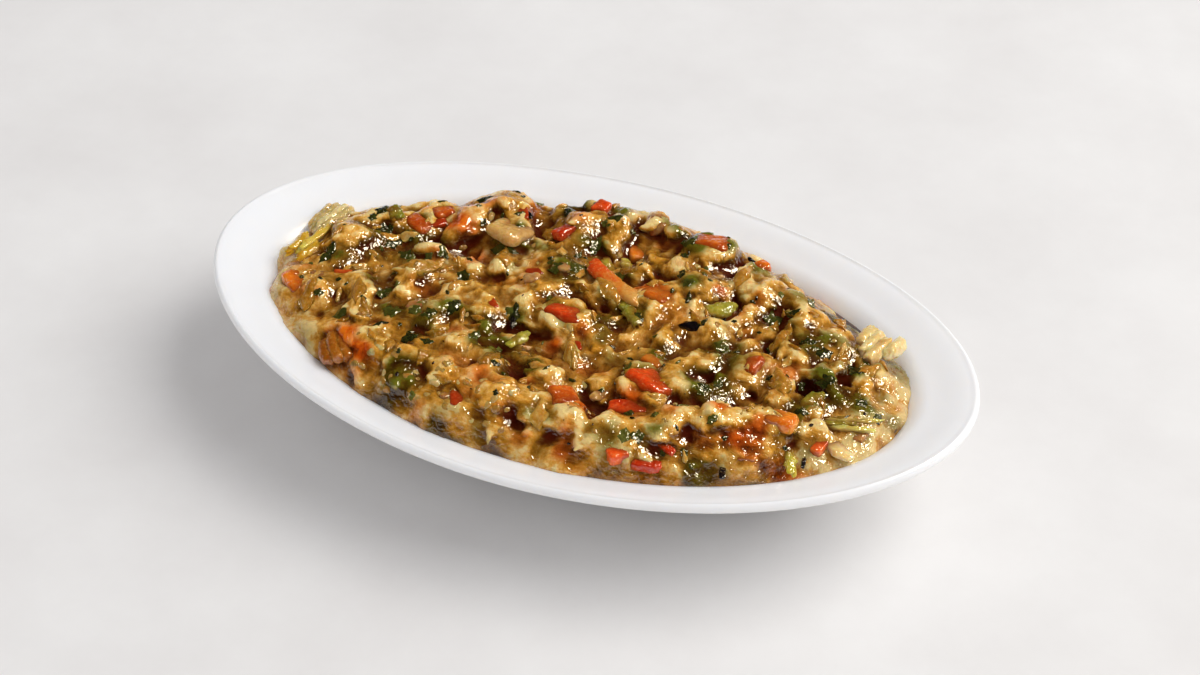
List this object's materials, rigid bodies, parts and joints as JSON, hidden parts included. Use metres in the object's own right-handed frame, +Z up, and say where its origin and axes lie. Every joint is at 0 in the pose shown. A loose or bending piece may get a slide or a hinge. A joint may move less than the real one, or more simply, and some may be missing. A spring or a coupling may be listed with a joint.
{
  "type": "baba ganoush in oval dish",
  "caption": "Chunky roasted aubergine salad with diced peppers, onion and herbs, heaped to the rim of a white oval dish with raised ends; a starter ready to serve.",
  "frame": {"origin": "middle of the foot ring, on the surface the dish stands on", "axes": "+X along the dish's length, +Y across it, +Z up"},
  "size_m": [0.21, 0.125, 0.0413],
  "materials": {
    "dish": "smooth white glaze, high gloss",
    "mash": "wet, oily, translucent",
    "red_pepper": "wet, glossy",
    "orange_pepper": "wet, glossy",
    "tomato": "wet, soft",
    "onion": "wet, translucent",
    "green_pepper": "wet, glossy",
    "yellow_courgette": "wet, glossy",
    "aubergine_skin": "wet, glossy, nearly black"
  },
  "bodies": {
    "root": {"dish": "dish", "baba_ganoush": "mash", "pepper_red_middle": "red_pepper", "pepper_red_right": "red_pepper", "pepper_red_front": "red_pepper", "pepper_orange_back": "orange_pepper", "pepper_orange_middle": "orange_pepper", "pepper_orange_left": "orange_pepper", "pepper_orange_side": "orange_pepper", "pepper_orange_far": "orange_pepper", "pepper_orange_right": "orange_pepper", "pepper_strip": "orange_pepper", "tomato_piece": "tomato", "onion_slice": "onion", "onion_ribbed": "onion", "onion_wedge": "onion", "courgette_green": "green_pepper", "courgette_yellow": "yellow_courgette", "pepper_green_strip": "green_pepper", "aubergine_skin": "aubergine_skin"}
  },
  "joints": []
}
